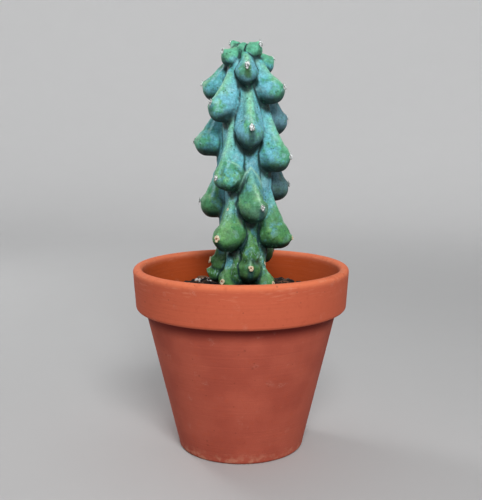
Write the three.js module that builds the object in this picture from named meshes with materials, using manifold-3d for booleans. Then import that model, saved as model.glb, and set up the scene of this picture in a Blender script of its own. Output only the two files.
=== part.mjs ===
// A potted myrtillocactus: one thick columnar stem with seven ribs, each broken into hanging,
// pear-shaped tubercles that end in a woolly areole with a few short spines. The stem stands in
// gritty potting soil in a plain terracotta pot with a banded rim and a drain hole.
//
// Millimetres, +Z up. The origin is the centre of the pot's foot, on the surface it stands on,
// and -Y is the front.
import * as THREE from "three";
import { ConvexGeometry } from "three/addons/geometries/ConvexGeometry.js";
import { mergeVertices } from "three/addons/utils/BufferGeometryUtils.js";
import Module from "manifold-3d";

const wasm = await Module();
wasm.setup();

// The pot: a 140 mm clay pot, 120 mm tall.
const POT_HEIGHT = 120;
const RIM_RADIUS = 70;
const RIM_BAND_HEIGHT = 27.4;
const RIM_BAND_TAPER = 1.5;
const RIM_EDGE_ROUND = 2.6;
const LIP_ROUND = 2.8;
const MOUTH_RADIUS = 64;
const WALL_TOP_RADIUS = 62.5;
const FOOT_RADIUS = 41.3;
const FOOT_ROUND = 2.2;
const FLOOR_THICKNESS = 9;
const FLOOR_FILLET = 6;
const DRAIN_RADIUS = 8;
const POT_SIDES = 48;

// The soil: a low mound that leaves a 21 mm deep watering space under the lip, with crumbs on it.
const SOIL_EDGE_HEIGHT = 98.5;
const SOIL_MOUND = 4;
const SOIL_RELIEF = 0.6;
const SOIL_RINGS = 7;
const CRUMB_COUNT = 28;
const CRUMB_SIZES = [1.2, 2.4];
const CRUMBS_FROM_RADIUS = 22;
const FIT_GAP = 0.3;

// The stem: it stands a little to the right of the pot's centre, its foot 40 mm down in the soil.
// The outline is [radius, height] on a rib's crest, between the tubercles.
const STEM_X = 2.5;
const STEM_SIDES = 28;
const STEM_RINGS = 16;
const STEM_OUTLINE = [
  [0, 60], [7, 62], [11.5, 78], [14, 100], [15.5, 125], [18, 165],
  [18.5, 205], [16.5, 230], [11, 247], [4.5, 256], [0, 257.5],
];
const STEM_HOLE_TOP = 108;
const CREASE_DEPTH = 4.6;
const CREASES_FROM = 104;
const CREASES_FULL = 124;

// Tubercles of each rib, from the crown down: height of the areole, its turn round the stem in
// degrees (0 faces the front, positive is to the right), its reach from the stem's axis, the
// tubercle's half width, how far the middle of its belly hangs below the areole, how far its
// apex lies above the areole, how far the apex stands out of the rib, and how far to the right of
// the belly's middle the areole sits. The last two are optional.
const RIBS = {
  front: [
    [245, 4, 22, 7, 3.5, 9], [209, 8, 29, 8.8, 5, 24],
    [160.5, 20.5, 30, 8.4, 1, 23.5, 2.4], [122.5, 8, 26, 7, 2, 7, 9],
  ],
  frontLeft: [
    [255.5, -62, 16, 5.8, 3, 2.5], [224, -42, 28.5, 8.4, 2.5, 20.5, 0.4, -2],
    [178.5, -28, 31.5, 8.4, -1, 42, 0.4, -3.2], [141, -27.5, 31, 8.8, -1, 26, 0.4, -3],
    [112.5, -40, 21.5, 7.2, 0, 14],
  ],
  left: [
    [261.5, -134, 12, 4.4, 3, 1], [236.5, -106, 27.5, 7.6, 2.5, 15], [200, -102, 32.5, 8.3, 0, 24],
    [161.5, -105, 29.5, 8.4, 1.5, 22], [124, -80, 22, 6.6, 2, 14],
  ],
  backLeft: [
    [247, -152, 19, 6.2, 3, 8], [216, -151, 28, 8, 2, 18],
    [177, -153, 30, 8.4, 0, 24], [137, -150, 28, 8, 1, 22],
  ],
  backRight: [
    [258, 172, 8, 3.6, 2, 1], [234, 161, 25, 7.4, 3, 13], [194, 163, 30, 8.4, 1, 24],
    [152, 160, 29.5, 8.4, 0, 26], [116, 164, 23, 6.6, 1, 16],
  ],
  right: [
    [252, 117, 19.5, 5.6, 3.5, 5], [215, 114, 29, 7.8, 2.5, 20],
    [172, 112, 30, 8, 1.5, 24], [129, 127, 22, 7, 1, 20],
  ],
  frontRight: [
    [260, 46, 12.5, 5.6, 3.5, 1], [233.5, 55, 27.5, 8.2, 2.5, 16, 0.4, 1.8],
    [191, 59, 31, 8.6, 0, 27, 0.4, 2.3], [139.5, 65, 31.5, 8.6, -1, 30, 0.4, 2.3],
    [111.5, 44, 25, 7, 0, 14],
  ],
};
// Swellings with no areole, in the same form: one low on the front rib, the foot of the left rib,
// and the young folds round the crown's middle.
const SWELLINGS = [
  [131, 13, 24.6, 5.2, 1, 12], [117.5, -82, 24.6, 6, 1, 7],
  [254, 10, 7.5, 4.5, 3, 4], [258, -80, 7, 4.4, 3, 2.5], [258.5, 100, 7, 4.2, 3, 2.5],
];
const APEX_LIFT = 0.4;
const SHOULDER_CURVE = 2.6;
const SHOULDER_LEVELS = [0.06, 0.24, 0.5, 0.76];
const SHOULDER_POINTS = 6;
const BELLY_STRETCH = 1.1;
const BELLY_FACETING = 1.02;
const ROOT_SHARE = 0.62;
const TIP_ROUND = 1.7;

// The areoles, and the spines that stand out of them.
const AREOLE_RADIUS = 1.5;
const AREOLE_HEIGHT = 0.9;
const AREOLE_SIDES = 5;
const AREOLE_LIFT = 12;
const SPINES = 3;
const SPINE_LENGTH = 1.8;
const SPINE_RADIUS = 0.35;
const SPINE_SPREAD = 34;

// Loose top dressing beside the stem: [x, y, length, width, thickness, turn, tilt] of each bark
// chip, and [x, y, size] of each perlite grain.
const BARK_CHIPS = [
  [-27, 43.5, 9.5, 9, 3, 8, 35], [34, 24, 13, 7, 2.8, -40, 12], [-30, -31, 14, 7, 3, 55, 10],
];
const PERLITE_GRAINS = [
  [-25.5, 36, 2.2], [-20, 38.5, 2], [-15.5, 42.5, 1.8], [46, 20, 2.1], [38, -17, 2.3], [3, -42, 2.2],
];
const SQUARENESS = 0.45;
const CHIP_LIFT = 0.35;
const SEAT_GAP = 0.5;

const radians = THREE.MathUtils.degToRad;

// The same run of random numbers every time, from a seed.
function seeded(seed) {
  let state = seed >>> 0;
  return () => {
    state = (state + 0x6d2b79f5) >>> 0;
    let t = Math.imul(state ^ (state >>> 15), 1 | state);
    t = (t + Math.imul(t ^ (t >>> 7), 61 | t)) ^ t;
    return ((t ^ (t >>> 14)) >>> 0) / 4294967296;
  };
}

// Geometry to solid and back, so that pieces can be joined and cut.
function solidOf(geometry) {
  const corners = geometry.index ? geometry.toNonIndexed() : geometry;
  const bare = new THREE.BufferGeometry().setAttribute("position", corners.getAttribute("position"));
  const merged = mergeVertices(bare, 1e-4);
  return new wasm.Manifold(new wasm.Mesh({
    numProp: 3,
    vertProperties: new Float32Array(merged.attributes.position.array),
    triVerts: new Uint32Array(merged.index.array),
  }));
}

function geometryOf(solid) {
  const mesh = solid.getMesh();
  return new THREE.BufferGeometry()
    .setAttribute("position", new THREE.BufferAttribute(new Float32Array(mesh.vertProperties), 3))
    .setIndex(new THREE.BufferAttribute(new Uint32Array(mesh.triVerts), 1));
}

function largestPiece(solid) {
  return solid.decompose().sort((a, b) => b.volume() - a.volume())[0];
}

// A profile of [radius, height] pairs turned round the Z axis.
function turned(profile, sides) {
  const points = profile.map(([radius, height]) => new THREE.Vector2(radius, height));
  return new THREE.LatheGeometry(points, sides).rotateX(Math.PI / 2);
}

// Points of a round edge in a profile, from one angle to another in degrees.
function roundEdge(radius, height, round, from, to, steps) {
  return Array.from({ length: steps + 1 }, (_, i) => {
    const angle = radians(from + ((to - from) * i) / steps);
    return [radius + round * Math.cos(angle), height + round * Math.sin(angle)];
  });
}

// The pot's inner radius: its wall leans out by the same amount for each millimetre of height.
function potInsideRadius(height) {
  const slope = (WALL_TOP_RADIUS - FOOT_RADIUS) / (POT_HEIGHT - RIM_BAND_HEIGHT);
  return MOUTH_RADIUS - slope * (POT_HEIGHT - height);
}

// The inside of the pot from a height down to the floor, taken in by a gap.
function potInside(top, gap) {
  const floor = FLOOR_THICKNESS + gap;
  const corner = potInsideRadius(floor + FLOOR_FILLET) - gap - FLOOR_FILLET;
  return [
    [potInsideRadius(top) - gap, top],
    ...roundEdge(corner, floor + FLOOR_FILLET, FLOOR_FILLET, 0, -90, 4),
  ];
}

function potGeometry() {
  const bandBottom = POT_HEIGHT - RIM_BAND_HEIGHT;
  const bandRadius = RIM_RADIUS - RIM_BAND_TAPER;
  const lipTop = POT_HEIGHT - LIP_ROUND;
  const profile = [
    [DRAIN_RADIUS, 0],
    ...roundEdge(FOOT_RADIUS - FOOT_ROUND, FOOT_ROUND, FOOT_ROUND, -90, 0, 3),
    [WALL_TOP_RADIUS, bandBottom],
    ...roundEdge(bandRadius - RIM_EDGE_ROUND, bandBottom + RIM_EDGE_ROUND, RIM_EDGE_ROUND, -90, 0, 4),
    ...roundEdge(RIM_RADIUS - LIP_ROUND, lipTop, LIP_ROUND, 0, 90, 4),
    ...roundEdge(MOUTH_RADIUS + LIP_ROUND, lipTop, LIP_ROUND, 90, 180, 3),
    ...potInside(lipTop, 0).slice(1),
    [DRAIN_RADIUS, FLOOR_THICKNESS],
    [DRAIN_RADIUS, 0],
  ];
  return turned(profile, POT_SIDES);
}

// Height of the soil at a place: a low mound with gentle waves that die out at the pot's wall.
function soilHeight(x, y) {
  const edge = Math.min(1, Math.hypot(x, y) / potInsideRadius(SOIL_EDGE_HEIGHT));
  const waves = Math.sin(x * 0.21 + 1.3) * Math.cos(y * 0.17 - 0.4) + 0.6 * Math.sin(x * 0.43 - y * 0.37);
  return SOIL_EDGE_HEIGHT + SOIL_MOUND * (1 - edge ** 3) + SOIL_RELIEF * waves * (1 - edge ** 8);
}

// Corners of a chip or grain: seeded points on a block with worn edges, of these half sizes.
function chipPoints(halfSizes, count, random) {
  return Array.from({ length: count }, () => {
    const p = new THREE.Vector3(random() - 0.5, random() - 0.5, random() - 0.5).normalize();
    const furthest = Math.max(Math.abs(p.x), Math.abs(p.y), Math.abs(p.z));
    return p.divideScalar(THREE.MathUtils.lerp(1, furthest, SQUARENESS)).multiply(halfSizes);
  });
}

// The same points pushed out on all sides.
function grown(points, gap) {
  const ways = [[1, 0, 0], [-1, 0, 0], [0, 1, 0], [0, -1, 0], [0, 0, 1], [0, 0, -1]];
  return points.flatMap((p) => ways.map((way) => new THREE.Vector3(...way).multiplyScalar(gap).add(p)));
}

function barkChip([x, y, length, width, thickness, turn, tilt], index) {
  const halfSizes = new THREE.Vector3(length / 2, width / 2, thickness / 2);
  const lean = new THREE.Euler(radians(tilt), 0, radians(turn), "ZYX");
  const place = new THREE.Matrix4()
    .makeRotationFromEuler(lean)
    .setPosition(x, y, soilHeight(x, y) + thickness * CHIP_LIFT);
  return chipPoints(halfSizes, 16, seeded(70 + index)).map((p) => p.applyMatrix4(place));
}

function perliteGrain([x, y, size], index) {
  const halfSizes = new THREE.Vector3(size, size * 0.9, size * 0.8);
  const centre = new THREE.Vector3(x, y, soilHeight(x, y) + size * CHIP_LIFT);
  return chipPoints(halfSizes, 14, seeded(90 + index)).map((p) => p.add(centre));
}

// The soil with its crumbs, filling the pot from the floor to the mound.
function soilSolid(seats) {
  const edgeRadius = potInsideRadius(SOIL_EDGE_HEIGHT) - FIT_GAP;
  const surface = Array.from({ length: SOIL_RINGS + 1 }, (_, i) =>
    [edgeRadius * (1 - i / SOIL_RINGS), SOIL_EDGE_HEIGHT]);
  const sides = potInside(SOIL_EDGE_HEIGHT, FIT_GAP).slice(1).reverse();
  const geometry = turned([[0, FLOOR_THICKNESS + FIT_GAP], ...sides, ...surface], POT_SIDES);
  const at = geometry.getAttribute("position");
  for (let i = 0; i < at.count; i++) {
    if (Math.abs(at.getZ(i) - SOIL_EDGE_HEIGHT) < 0.01) at.setZ(i, soilHeight(at.getX(i), at.getY(i)));
  }
  let soil = solidOf(geometry);
  const random = seeded(31);
  for (let i = 0; i < CRUMB_COUNT; i++) {
    const angle = 2 * Math.PI * random();
    const radius = THREE.MathUtils.lerp(CRUMBS_FROM_RADIUS, edgeRadius - 4, Math.sqrt(random()));
    const size = THREE.MathUtils.lerp(...CRUMB_SIZES, random());
    const [x, y] = [radius * Math.cos(angle), radius * Math.sin(angle)];
    const centre = new THREE.Vector3(x, y, soilHeight(x, y) + size * 0.15);
    const crumb = chipPoints(new THREE.Vector3(size, size * 0.8, size * 0.7), 9, random);
    soil = soil.add(solidOf(new ConvexGeometry(crumb.map((p) => p.add(centre)))));
  }
  soil = soil.subtract(solidOf(stemHoleGeometry()));
  seats.forEach((points) => {
    soil = soil.subtract(solidOf(new ConvexGeometry(grown(points, SEAT_GAP))));
  });
  return largestPiece(soil);
}

// The plain round hole in the soil that the stem's foot stands in.
function stemHoleGeometry() {
  const buried = STEM_OUTLINE.filter(([radius, height]) => radius > 0 && height < STEM_HOLE_TOP);
  const wall = buried.map(([radius, height]) => [radius + 2 * FIT_GAP, height - FIT_GAP]);
  const top = [stemRadius(STEM_HOLE_TOP) + 2 * FIT_GAP, STEM_HOLE_TOP];
  const foot = STEM_OUTLINE[0][1] - 2 * FIT_GAP;
  return turned([[0, foot], ...wall, top, [0, STEM_HOLE_TOP]], STEM_SIDES).translate(STEM_X, 0, 0);
}

// The stem's radius on a rib's crest, between tubercles, at a height.
function stemRadius(height) {
  const above = STEM_OUTLINE.findIndex(([, level]) => level >= height);
  if (above <= 0) return 0;
  const [[lowRadius, low], [highRadius, high]] = [STEM_OUTLINE[above - 1], STEM_OUTLINE[above]];
  return THREE.MathUtils.mapLinear(height, low, high, lowRadius, highRadius);
}

// A rib's turn at a height: it runs from tubercle to tubercle. The topmost ones crowd together
// over the growing point, so the rib keeps the turn of the second one there.
function ribTurn(tubercles, height) {
  const body = tubercles.slice(1);
  const below = body.findIndex(([level]) => level <= height);
  if (below === 0) return body[0][1];
  if (below < 0) return body[body.length - 1][1];
  const [[high, highTurn], [low, lowTurn]] = [body[below - 1], body[below]];
  return THREE.MathUtils.mapLinear(height, low, high, lowTurn, highTurn);
}

// How deep the stem is creased at a turn and height: 0 on a rib's crest, 1 between two ribs.
function crease(turn, height) {
  const away = Object.values(RIBS).map((tubercles) =>
    THREE.MathUtils.euclideanModulo(turn - ribTurn(tubercles, height) + 180, 360) - 180);
  const right = Math.min(...away.filter((angle) => angle >= 0));
  const left = Math.min(...away.filter((angle) => angle < 0).map((angle) => -angle));
  const fromCrest = (2 * Math.min(left, right)) / (left + right);
  return 1 - Math.sqrt(1 - fromCrest ** 2 * 0.98);
}

function stemGeometry() {
  const outline = STEM_OUTLINE.map(([radius, height]) => new THREE.Vector2(radius, height));
  const profile = new THREE.SplineCurve(outline).getSpacedPoints(STEM_RINGS).map((p) => [p.x, p.y]);
  profile[0][0] = 0;
  profile[STEM_RINGS][0] = 0;
  const geometry = turned(profile, STEM_SIDES);
  const at = geometry.getAttribute("position");
  for (let i = 0; i < at.count; i++) {
    const [x, y, z] = [at.getX(i), at.getY(i), at.getZ(i)];
    const radius = Math.hypot(x, y);
    const turn = THREE.MathUtils.radToDeg(Math.atan2(x, -y));
    const fade = THREE.MathUtils.smoothstep(z, CREASES_FROM, CREASES_FULL) * Math.min(1, radius / 14);
    const factor = radius > 0.1 ? 1 - (CREASE_DEPTH * fade * crease(turn, z)) / radius : 1;
    at.setXYZ(i, STEM_X + x * factor, y * factor, z);
  }
  return geometry;
}

// A point at a turn, distance and height round the stem's axis.
function roundStem(turn, distance, height) {
  const [x, y] = [distance * Math.sin(radians(turn)), -distance * Math.cos(radians(turn))];
  return new THREE.Vector3(STEM_X + x, y, height);
}

// The level direction across a turn, to the right of someone who faces the stem there.
function across(turn) {
  return new THREE.Vector3(Math.cos(radians(turn)), Math.sin(radians(turn)), 0);
}

function ball(centre, radius, detail, stretch = 1) {
  const at = new THREE.IcosahedronGeometry(radius, detail).getAttribute("position");
  return Array.from({ length: at.count }, (_, i) =>
    new THREE.Vector3(at.getX(i), at.getY(i), at.getZ(i) * stretch).add(centre));
}

// One tubercle: a hull that widens from a pointed apex on the rib down to the round belly that
// hangs under the areole at its tip. Its back is sunk in the stem.
function tubercleGeometry([height, turn, reach, girth, sag, climb, lift = APEX_LIFT, lean = 0]) {
  const bellyHeight = height - sag;
  const rise = climb + sag;
  const apexReach = Math.min(stemRadius(height + climb) + lift, reach - girth * 0.3);
  const bellyDistance = reach - girth * 0.93;
  const rootDistance = Math.max(0, bellyDistance - girth * 1.1);
  const shoulders = SHOULDER_LEVELS.flatMap((level) => {
    const halfWidth = girth * (1 - (1 - level) ** SHOULDER_CURVE);
    const outer = THREE.MathUtils.lerp(apexReach, reach, Math.min(1, (level * rise) / climb));
    return Array.from({ length: SHOULDER_POINTS }, (_, i) => {
      const angle = (Math.PI * i) / (SHOULDER_POINTS - 1);
      const distance = outer - halfWidth * 0.95 * (1 - Math.sin(angle));
      return roundStem(turn, distance, bellyHeight + rise * (1 - level))
        .addScaledVector(across(turn), halfWidth * Math.cos(angle));
    });
  });
  const points = [
    ...shoulders,
    ...ball(roundStem(turn, rootDistance, bellyHeight + girth * 0.2), girth * ROOT_SHARE, 0),
    ...ball(roundStem(turn, bellyDistance, bellyHeight), girth * BELLY_FACETING, 1, BELLY_STRETCH),
    ...ball(roundStem(turn, reach - TIP_ROUND + 0.6, height), TIP_ROUND, 0),
  ];
  const axis = roundStem(turn, 0, 0);
  const outwards = roundStem(turn, 1, 0).sub(axis);
  return new ConvexGeometry(points.map((p) => {
    const distance = p.clone().sub(axis).dot(outwards);
    return p.addScaledVector(across(turn), lean * Math.max(0, 1 - (reach - distance) / girth));
  }));
}

// The areole's woolly button and its short spines, pointing out of the tubercle's tip.
function areoleGeometries([height, turn, reach, , , , , lean = 0]) {
  const tip = roundStem(turn, reach + 0.3, height).addScaledVector(across(turn), lean);
  const outwards = new THREE.Matrix4()
    .makeTranslation(tip.x, tip.y, tip.z)
    .multiply(new THREE.Matrix4().makeRotationZ(radians(turn)))
    .multiply(new THREE.Matrix4().makeRotationX(radians(90 - AREOLE_LIFT)));
  const button = new THREE.CylinderGeometry(AREOLE_RADIUS * 0.7, AREOLE_RADIUS, AREOLE_HEIGHT, AREOLE_SIDES)
    .rotateX(Math.PI / 2)
    .applyMatrix4(outwards);
  const spines = Array.from({ length: SPINES }, (_, i) =>
    new THREE.ConeGeometry(SPINE_RADIUS, SPINE_LENGTH, 3)
      .rotateX(Math.PI / 2)
      .translate(0, 0, SPINE_LENGTH / 2)
      .rotateX(radians(SPINE_SPREAD))
      .rotateZ(radians(i * (360 / SPINES + 20)))
      .applyMatrix4(outwards));
  return [button, ...spines];
}

function cactusSolid() {
  const tubercles = Object.values(RIBS).flat();
  const swollen = [...tubercles, ...SWELLINGS].map(tubercleGeometry);
  const grownOn = [...swollen, ...tubercles.flatMap(areoleGeometries)];
  return grownOn.reduce((cactus, geometry) => cactus.add(solidOf(geometry)), solidOf(stemGeometry()));
}

const materials = {
  terracotta: new THREE.MeshStandardMaterial({ color: 0xb5603f, roughness: 0.85, metalness: 0 }),
  cactusSkin: new THREE.MeshStandardMaterial({ color: 0x5f9f86, roughness: 0.6, metalness: 0 }),
  soil: new THREE.MeshStandardMaterial({ color: 0x2a211d, roughness: 1, metalness: 0 }),
  bark: new THREE.MeshStandardMaterial({ color: 0x7a5238, roughness: 0.9, metalness: 0 }),
  perlite: new THREE.MeshStandardMaterial({ color: 0xc9c7c2, roughness: 0.95, metalness: 0 }),
};

const group = new THREE.Group();

function addPiece(name, geometry, material) {
  const piece = new THREE.Mesh(geometry, material);
  piece.name = name;
  group.add(piece);
}

const barkPoints = BARK_CHIPS.map(barkChip);
const perlitePoints = PERLITE_GRAINS.map(perliteGrain);

addPiece("pot", potGeometry(), materials.terracotta);
addPiece("potting_soil", geometryOf(soilSolid([...barkPoints, ...perlitePoints])), materials.soil);
addPiece("cactus", geometryOf(cactusSolid()), materials.cactusSkin);
barkPoints.forEach((points, i) => {
  addPiece(`bark_chip_${i + 1}`, new ConvexGeometry(points), materials.bark);
});
perlitePoints.forEach((points, i) => {
  addPiece(`perlite_grain_${i + 1}`, new ConvexGeometry(points), materials.perlite);
});

export default group;
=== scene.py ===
"""A potted myrtillocactus in a terracotta pot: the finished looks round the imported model.

Shapes are worked out in millimetres, in the model's own frame: the origin is the centre of the
pot's foot, +Z is up and -Y is the front. They become metres when a mesh is made.
"""

import math
from types import SimpleNamespace

import bmesh
import bpy
import numpy as np
from mathutils import Matrix, Vector


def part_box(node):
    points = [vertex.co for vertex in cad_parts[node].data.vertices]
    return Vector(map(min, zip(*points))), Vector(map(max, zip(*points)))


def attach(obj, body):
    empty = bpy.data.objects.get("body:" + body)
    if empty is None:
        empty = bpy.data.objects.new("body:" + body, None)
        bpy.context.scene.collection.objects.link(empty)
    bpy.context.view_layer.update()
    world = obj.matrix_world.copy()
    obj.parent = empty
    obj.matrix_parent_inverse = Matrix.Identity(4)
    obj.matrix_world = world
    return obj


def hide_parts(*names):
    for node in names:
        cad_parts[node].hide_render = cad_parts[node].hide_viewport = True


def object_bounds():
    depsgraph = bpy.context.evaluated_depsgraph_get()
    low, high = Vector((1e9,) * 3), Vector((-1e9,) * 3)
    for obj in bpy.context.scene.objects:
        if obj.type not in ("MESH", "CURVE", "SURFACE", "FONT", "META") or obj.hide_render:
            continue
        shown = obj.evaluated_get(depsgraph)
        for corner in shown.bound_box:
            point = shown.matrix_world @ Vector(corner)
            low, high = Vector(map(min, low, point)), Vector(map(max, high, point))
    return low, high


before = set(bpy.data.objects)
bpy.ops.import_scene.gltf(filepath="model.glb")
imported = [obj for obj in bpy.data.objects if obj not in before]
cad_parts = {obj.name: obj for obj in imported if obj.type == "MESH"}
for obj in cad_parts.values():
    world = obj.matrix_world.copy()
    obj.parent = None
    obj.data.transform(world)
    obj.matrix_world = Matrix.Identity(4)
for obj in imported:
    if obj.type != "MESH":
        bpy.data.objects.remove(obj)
cad_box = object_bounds()

MM = 0.001
TOP = cad_box[1][2] / MM - 0.3

# The pot.
POT_HEIGHT = 120
RIM_RADIUS = 70
RIM_BAND_HEIGHT = 27.4
RIM_BAND_TAPER = 1.5
RIM_EDGE_ROUND = 2.6
LIP_ROUND = 2.8
MOUTH_RADIUS = 64
WALL_TOP_RADIUS = 62.5
FOOT_RADIUS = 41.3
FOOT_ROUND = 2.2
FLOOR_THICKNESS = 9
FLOOR_FILLET = 6
DRAIN_RADIUS = 8
DRAIN_EDGE = 0.6
WALL_LEAN = (WALL_TOP_RADIUS - FOOT_RADIUS) / (POT_HEIGHT - RIM_BAND_HEIGHT)
POT_SIDES = 176
POT_STEP = 1.5
POT_INSET = 0.08

# The soil in it, and what lies on it.
SOIL_EDGE_HEIGHT = 98.5
SOIL_MOUND = 4
SOIL_RELIEF = 0.6
SOIL_EYE = 2
SOIL_DIP = 5
SOIL_RINGS, SOIL_SIDES = ((84, 260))
FIT_GAP = 0.3
CRUMBS = 1500
SPECKS = 90
HEAP_SPECKS = 60
HEAP_PLACE = (-20.5, 39, 0)
HEAP_SPREAD = (4.5, 6, 0)
GRAIN_SHAPES = 8
PERLITE_GRAINS = 6
NODE_SHARE = 0.98

# Length, width, thickness, turn and tilt of each bark chip.
BARK_CHIPS = [[9.5, 9, 3, 8, 35], [13, 7, 2.8, -40, 12], [14, 7, 3, 55, 10]]

# The stem: [radius, height] on a rib's crest, between the tubercles.
STEM_X = 2.5
STEM_OUTLINE = [
    [14, 90], [14, 100], [15.5, 125], [18, 165], [18.5, 205], [16.5, 230],
    [13.5, 247], [11, 254], [6, 257.5], [0.1, 262],
]
STEM_LEVELS = 260
STEM_ROUNDING = 25
STEM_FOOT = 96
STEM_TOP = 257
LOBE_SHARE = 0.47
CORE_SHARE = 0.8
FURROW_DEPTH = 0.5
FURROW_WIDTH = 1.0

# Tubercles of each rib, from the crown down: height of the areole, its turn round the stem in
# degrees (0 faces the front, positive is to the right), its reach from the stem's axis, the
# tubercle's half width, how far the middle of its belly hangs below the areole, how far its apex
# lies above the areole, how far the apex stands out of the rib, and how far to the right of the
# belly's middle the areole sits. The last two are optional.
RIBS = {
    "front": [
        [246.2, 4, 22, 6.5, 4.6, 8.5, 1], [209, 8, 29, 8.8, 3.6, 26, 1.4],
        [160.5, 11.5, 30, 8.2, 1, 23.5, 2, 4.6], [122.5, 8, 26, 7, 2, 11, 9],
    ],
    "front_left": [
        [255.5, -58, 15.7, 5.8, 5.4, 3.5], [224, -42, 28.5, 8.4, 2.5, 20.5, 0.4, -2],
        [178.5, -25, 31.5, 8, -1, 42, 0.4, -4.5], [141, -27.5, 31, 8.8, -1, 26, 0.4, -3],
        [112.5, -38, 22.5, 8.4, 0, 17],
    ],
    "left": [
        [261.5, -112, 9.2, 4.4, 5.4, 0.6], [236.5, -106, 27.5, 7.6, 2.5, 15],
        [200, -102, 32.5, 8.3, 0, 24], [161.5, -105, 29.5, 8.4, 1.5, 22], [124, -80, 22, 6.6, 2, 14],
    ],
    "back_left": [
        [247, -152, 19, 6.2, 3, 8], [216, -151, 28, 8, 2, 18],
        [177, -153, 30, 8.4, 0, 24], [137, -150, 28, 8, 1, 22],
    ],
    "back_right": [
        [258, 172, 8, 3.6, 2, 1], [234, 161, 25, 7.4, 3, 13], [194, 163, 30, 8.4, 1, 24],
        [152, 160, 29.5, 8.4, 0, 26], [116, 164, 23, 6.6, 1, 16],
    ],
    "right": [
        [252, 117, 19.5, 5.6, 3.5, 5], [215, 114, 29, 7.8, 2.5, 20],
        [172, 112, 30, 8, 1.5, 24], [129, 127, 22, 7, 1, 20],
    ],
    "front_right": [
        [260, 46, 12.4, 5.3, 5.4, 2], [233.5, 55, 27.5, 8.4, 1, 16, 0.4, 1.8],
        [191, 59, 31, 8.6, 0, 27, 0.4, 2.3], [139.5, 65, 31.5, 8.6, -2.6, 30, 0.4, 2.3],
        [111.5, 44, 25, 7, 0, 14],
    ],
}
TUBERCLES = [row for rib in RIBS.values() for row in rib]

# Swellings with no areole, in the same form: two folds and the left rib's foot near the soil, a
# plate beside the third front left tubercle, and the young folds round the crown's middle.
SWELLINGS = {
    "front": [[131, 10.5, 25, 5.8, 1, 14], [258.5, -23, 6.5, 3.4, 1, 2.5]],
    "front_left": [[176.5, -24, 30.8, 7.8, -2, 12.5, 12], [121, -16, 21, 6.3, 4, 14]],
    "left": [[258, -80, 7, 4.4, 3, 2.5], [117.5, -82, 24.6, 6, 1, 7]],
    "right": [[258.5, 100, 7, 4.2, 3, 2.5]],
}

# Things that single tubercles have, by the height of the areole: how much painted shade lies on
# the lower part of its belly, how blue (above 0) or green (below 0), and the areole's size.
PAINTED_SHADE = {215: 2.2, 172: 3.0, 160.5: 0.5, 124: 0.7}
TONES = {
    255.5: 0, 224: 0.4, 233.5: 0, 191: -0.3, 236.5: -0.4, 112.5: 0.8, 111.5: 1, 215: 0.8,
    260: -0.3, 261.5: -1.5, 161.5: -1, 160.5: -0.9, 178.5: -0.4, 139.5: -0.3, 141: -0.7,
}
SWELLING_TONE = -4
AREOLE_SIZE = 1.2
AREOLE_SIZES = {
    255.5: 1.35, 260: 1.35, 246.2: 1.55, 209: 1.55, 191: 1.5, 233.5: 1.35,
    141: 1.3, 139.5: 0.75, 111.5: 0.65, 116: 0.8, 122.5: 0.95,
}

# Cork scars that belong to no tubercle: height, turn and width.
SMALL_AREOLES = [[158.5, -29, 0.9], [123, 49, 1.2], [109, 15, 0.9], [108, -52, 1.1]]

# The tubercles' form. Old skin and cork lie below OLD_BELOW. The crown's tubercles lie above
# CROWN_FROM, with an apex no higher than CROWN_CLIMB. One with a lift between SHIELD_LIFT and
# COLUMN_LIFT has a shield round its apex.
OLD_BELOW = 150
CROWN_FROM = 240
CROWN_CLIMB = 4
FRONT_TURN = 45
FACING_TURN = 15
BELLY_STRETCH = 1.3
BELLY_SQUASH = 0.6
BELLY_RISE = 0.15
BELLY_DEPTH = 0.7
BELLY_INSET = 0.95
POINTED = 1.75
DEEP = 2.8
BROAD = 2.2
LOWEST = 0.95
BLOCKY = 2.6
BLOCK_TILT = 0.25
BLOCK_STRETCH = 0.92
APEX_LIFT = 0.4
APEX_INSET = 0.3
SHOULDER_CURVE = 2.6
YOUNG_CURVE = 1.5
YOUNG_CLIMB = 12
SHIELD_CURVE = 3.8
SHIELD_LIFT = 1.5
COLUMN_LIFT = 5
SHIELD_RISE = 1.7
SHIELD_SLOPE = 0.7
CREST_SHARE = 0.5
CREST_INSET = 0.3
THIN = 0.01
ROOF_SLOPE = 0.5
ROOF_INSET = 0.2
TIP_ROUND = 1.7
TIP_LENGTH = 0.6
TIP_DROP = 0.4

# How far the edges between neighbouring forms are rounded.
BODY_BLEND = 2.4
TIP_BLEND = 2
ROOF_BLEND = 1.5
SWELLING_BLEND = 1.5
SHIELD_ROUND = 0.4
SHIELD_BLEND = 0.3
BELLY_BLEND = 0.7
APEX_BLEND = 4.0
CREASE_BLEND = 1.0

# The net of the skin: its grid's corners and step, and the way that its slope is felt.
FAR = 30.0
NET_LOW = (STEM_X - 37, -36, STEM_FOOT)
NET_HIGH = (STEM_X + 37, 37, 269)
SKIN_STEP = 0.8
NUDGE = 0.15
NUDGE_WAYS = ((1, 1, 1), (1, -1, -1), (-1, 1, -1), (-1, -1, 1))

# The skin's masks. Some of them carry painted shade, painted shadow and painted highlights.
SKIN_MASKS = (
    "tip", "crest", "ridge", "stripe", "under", "belly", "tone", "edge",
    "seam", "joint", "column", "hollow", "shade", "undercut",
)
SEAM_WIDTH = 0.6
JOINT_WIDTH = 0.7
RIM_WIDTH = 0.8
HOLLOW_REACH = 2.5
SHADE_REACHES = (4, 9)
LIGHT_WAYS = ((0, -0.35, 0.94), (-0.5, -0.5, 0.7), (0.5, -0.5, 0.7))
UNDERCUT_REACH = (0, 0, 4.2)
UNDERCUT_OUT = 1.2

# The areoles.
TUFT_SHAPE = (0.95, 1.3, 0.6)
DISC_SHAPE = (1.5, 1.75, 1.4)
DISC_FLATNESS = 0.42
HAIRS = 60
HAIR_RADIUS = 0.11
SPINES = 5

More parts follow.
